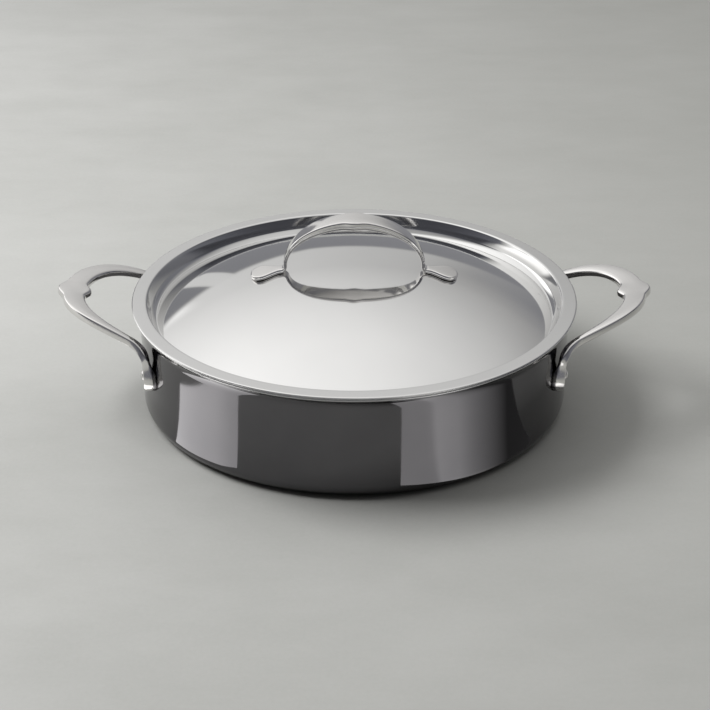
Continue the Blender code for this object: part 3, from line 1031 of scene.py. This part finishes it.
# the room that is mirrored: x is to the right, y to the back, z up, and a pair is a change's start and end
sky = {
    "levels": (  # how bright the diffusers at the back are, by z
        (0.00, 0.60), (0.145, 0.60), (0.40, 0.63), (0.55, 0.76),
        (0.73, 0.93), (0.85, 1.03), (1.00, 1.10),
    ),
    "unit": 1.2,  # a ramp's colours are shares of this
    "sideFall": 0.56,  # the diffusers are this much brighter on the left and darker on the right
    "dip": {"x": (0.12, 0.28), "z": (0.45, 0.25), "depth": 0.10},  # low on the right
    "darkest": 0.22,
    "lowPanel": {"slant": (-0.42, -0.55), "top": (0.41, 0.29), "foot": (0.0, 0.08), "level": 0.70},
    "foot": (0.122, 0.165),  # the diffusers end at this height, above a dark backdrop
    "footLift": 0.54,  # and higher the further left, from footStart left of the middle
    "footStart": 0.08,
    "footDark": 0.27,
    "sidePanel": {"x": (-0.50, -0.62), "z": (-0.02, 0.10)},  # on the far left they run down to the floor
    "window": {"left": (-0.352, -0.342), "right": (-0.262, -0.272), "z": (0.06, 0.07), "level": 0.95},
    "least": 0.02,
    "farLean": (0.12, 0.35),  # the parts of x and of z in what tells the far side from the near one
    "farEdge": (0.10, 0.42),
    "overhead": {"z": (0.45, 0.70), "x": (-0.10, 0.45), "level": 0.30},
    "nearDark": 0.07,  # the room behind the camera
    "nearFoot": {"z": (0.25, 0.05), "level": 0.12},
    "nearTop": {"z": (0.38, 0.85), "level": 0.36},
    "tints": ((0.88, 0.90, 1.04, 1), (1.0, 0.996, 0.990, 1)),  # of dark and of bright parts
    "tintEdge": (0.08, 0.45),
}
fill = {  # what all other rays see
    "levels": (0.05, 0.94),  # from the front and from the back
    "lean": (0.8, 0.6),  # the parts of y and of z in what tells them apart
    "edge": (0.0, 0.9),
    "tint": (1.0, 0.998, 0.995, 1),
    "backdrop": grey(0.60, 0.01),
}
view = {
    "place": (0, -1.160525, 0.620313),
    "tilt": math.radians(90 - 26.9628),
    "lens": 91.268,
    "sensor": 36.0,
    "shift": 0.001,
    "clip": (0.05, 60.0),
}


def layFloor():
    left, right, near, far = floor["edges"]
    middle = ((left + right) / 2, (near + far) / 2, floor["level"])
    bm = bmesh.new()
    bmesh.ops.create_grid(bm, x_segments=8, y_segments=8, size=0.5)
    bmesh.ops.scale(bm, vec=(right - left, far - near, 1), verts=bm.verts[:])
    bmesh.ops.translate(bm, vec=middle, verts=bm.verts[:])
    newObject("floor", bm, floorFinish(floorLook))


def layCard(card):
    material = bpy.data.materials.new(card["name"])
    material.use_nodes = True
    bench = Bench(material.node_tree)
    x, y, z = bench.split(bench.place())
    focusX, focusY = cards["focus"]
    bearing = bench.maths("ARCTAN2", y - focusY, x * card["side"] - focusX)
    across = bench.linear(bearing, *[math.radians(edge) for edge in card["sweep"]])
    glow = bench.ramp(across, *[(stop, grey(level, cards["warmth"])) for stop, level in card["glow"]])
    shine = bench.node("ShaderNodeEmission", Color=glow, Strength=cards["strength"])
    bench.plug(bench.tree.nodes["Material Output"].inputs["Surface"], shine)
    bench.tree.nodes.remove(bench.tree.nodes["Principled BSDF"])

    bm = bmesh.new()
    corners = [card["near"][0], card["near"][1], card["far"][1], card["far"][0]]
    bmesh.ops.contextual_create(bm, geom=[bm.verts.new((*corner, cards["level"])) for corner in corners])
    sheet = newObject(card["name"], bm, material)
    sheet.visible_camera = False
    sheet.visible_diffuse = False
    sheet.visible_shadow = False
    sheet.visible_transmission = False


def hangLamp(name, lamp):
    bearing, height = lamp["bearing"], lamp["height"]
    flat = math.cos(height)
    away = Vector((math.sin(bearing) * flat, math.cos(bearing) * flat, math.sin(height)))
    light = bpy.data.lights.new(name, "AREA")
    light.shape = "RECTANGLE"
    light.size, light.size_y = lamp["size"]
    light.energy = lamp["level"] * math.pi * lamp["size"][0] * lamp["size"][1]
    thing = bpy.data.objects.new(name, light)
    thing.location = away * lamp["distance"] + Vector(lamp["aim"])
    thing.rotation_euler = away.to_track_quat("Z", "Y").to_euler()
    thing.visible_glossy = False
    thing.visible_camera = False
    bpy.context.scene.collection.objects.link(thing)


def skyLevel(bench, x, y, z):
    smooth = bench.smooth
    slant = x / y
    unit, dark = sky["unit"], sky["footDark"]
    stops = [(place, grey(level / unit)) for place, level in sky["levels"]]
    lift = bench.node("ShaderNodeRGBToBW", Color=bench.ramp(z, *stops)) * unit - x * sky["sideFall"]
    dip, low = sky["dip"], sky["lowPanel"]
    lift = lift - smooth(x, *dip["x"]) * smooth(z, *dip["z"]) * dip["depth"]
    lift = bench.maths("MAXIMUM", lift, sky["darkest"])
    lowPanel = smooth(z, *low["top"]) * smooth(z, *low["foot"])
    lift = lift + smooth(slant, *low["slant"]) * lowPanel * low["level"]

    leftward = bench.maths("MINIMUM", x + sky["footStart"], 0.0)
    lit = smooth(z + leftward * sky["footLift"], *sky["foot"])
    side, pane = sky["sidePanel"], sky["window"]
    lit = bench.maths("MAXIMUM", lit, smooth(x, *side["x"]) * smooth(z, *side["z"]))
    window = smooth(slant, *pane["left"]) * smooth(slant, *pane["right"]) * smooth(z, *pane["z"])
    lit = bench.maths("MAXIMUM", lit, window * pane["level"])

    partX, partZ = sky["farLean"]
    far = smooth(y + z * partZ - x * partX, *sky["farEdge"])
    back = bench.maths("MAXIMUM", dark + (lift - dark) * lit, sky["least"]) * far
    over, foot, top = sky["overhead"], sky["nearFoot"], sky["nearTop"]
    panel = smooth(z, *over["z"]) * smooth(x, *over["x"]) * over["level"] * (1 - far)
    near = smooth(z, *foot["z"]) * foot["level"] + smooth(z, *top["z"]) * top["level"]
    return back + panel + (near + sky["nearDark"]) * (1 - far)


def lightRoom():
    world = bpy.data.worlds.new("studio")
    bpy.context.scene.world = world
    world.use_nodes = True
    bench = Bench(world.node_tree)
    x, y, z = bench.split(bench.node("ShaderNodeTexCoord", output="Generated"))
    level = skyLevel(bench, x, y, z)
    tint = bench.blend(bench.smooth(level, *sky["tintEdge"]), *sky["tints"])
    mirrored = bench.node("ShaderNodeBackground", Color=tint, Strength=level)
    front, rear = fill["levels"]
    partY, partZ = fill["lean"]
    soft = bench.smooth(y * partY + z * partZ, *fill["edge"]) * (rear - front) + front
    filling = bench.node("ShaderNodeBackground", Color=fill["tint"], Strength=soft)
    plain = bench.node("ShaderNodeBackground", Color=fill["backdrop"], Strength=1.0)
    lit = bench.chosen("Is Glossy Ray", filling, mirrored)
    seen = bench.chosen("Is Camera Ray", lit, plain)
    bench.plug(bench.tree.nodes["World Output"].inputs["Surface"], seen)
    bench.tree.nodes.remove(bench.tree.nodes["Background"])


def placeCamera():
    lens = bpy.data.cameras.new("camera")
    lens.sensor_fit = "HORIZONTAL"
    lens.sensor_width = view["sensor"]
    lens.lens = view["lens"]
    lens.shift_x = view["shift"]
    lens.clip_start, lens.clip_end = view["clip"]
    camera = bpy.data.objects.new("camera", lens)
    camera.location = view["place"]
    camera.rotation_euler = (view["tilt"], 0, 0)
    bpy.context.scene.collection.objects.link(camera)
    bpy.context.scene.camera = camera


layFloor()
for card in cards["sheets"]:
    layCard(card)
hangLamp("keyBox", keyBox)
lightRoom()
placeCamera()
bpy.context.scene.view_settings.view_transform = "Standard"
print("room lit")

bpy.context.view_layer.update()
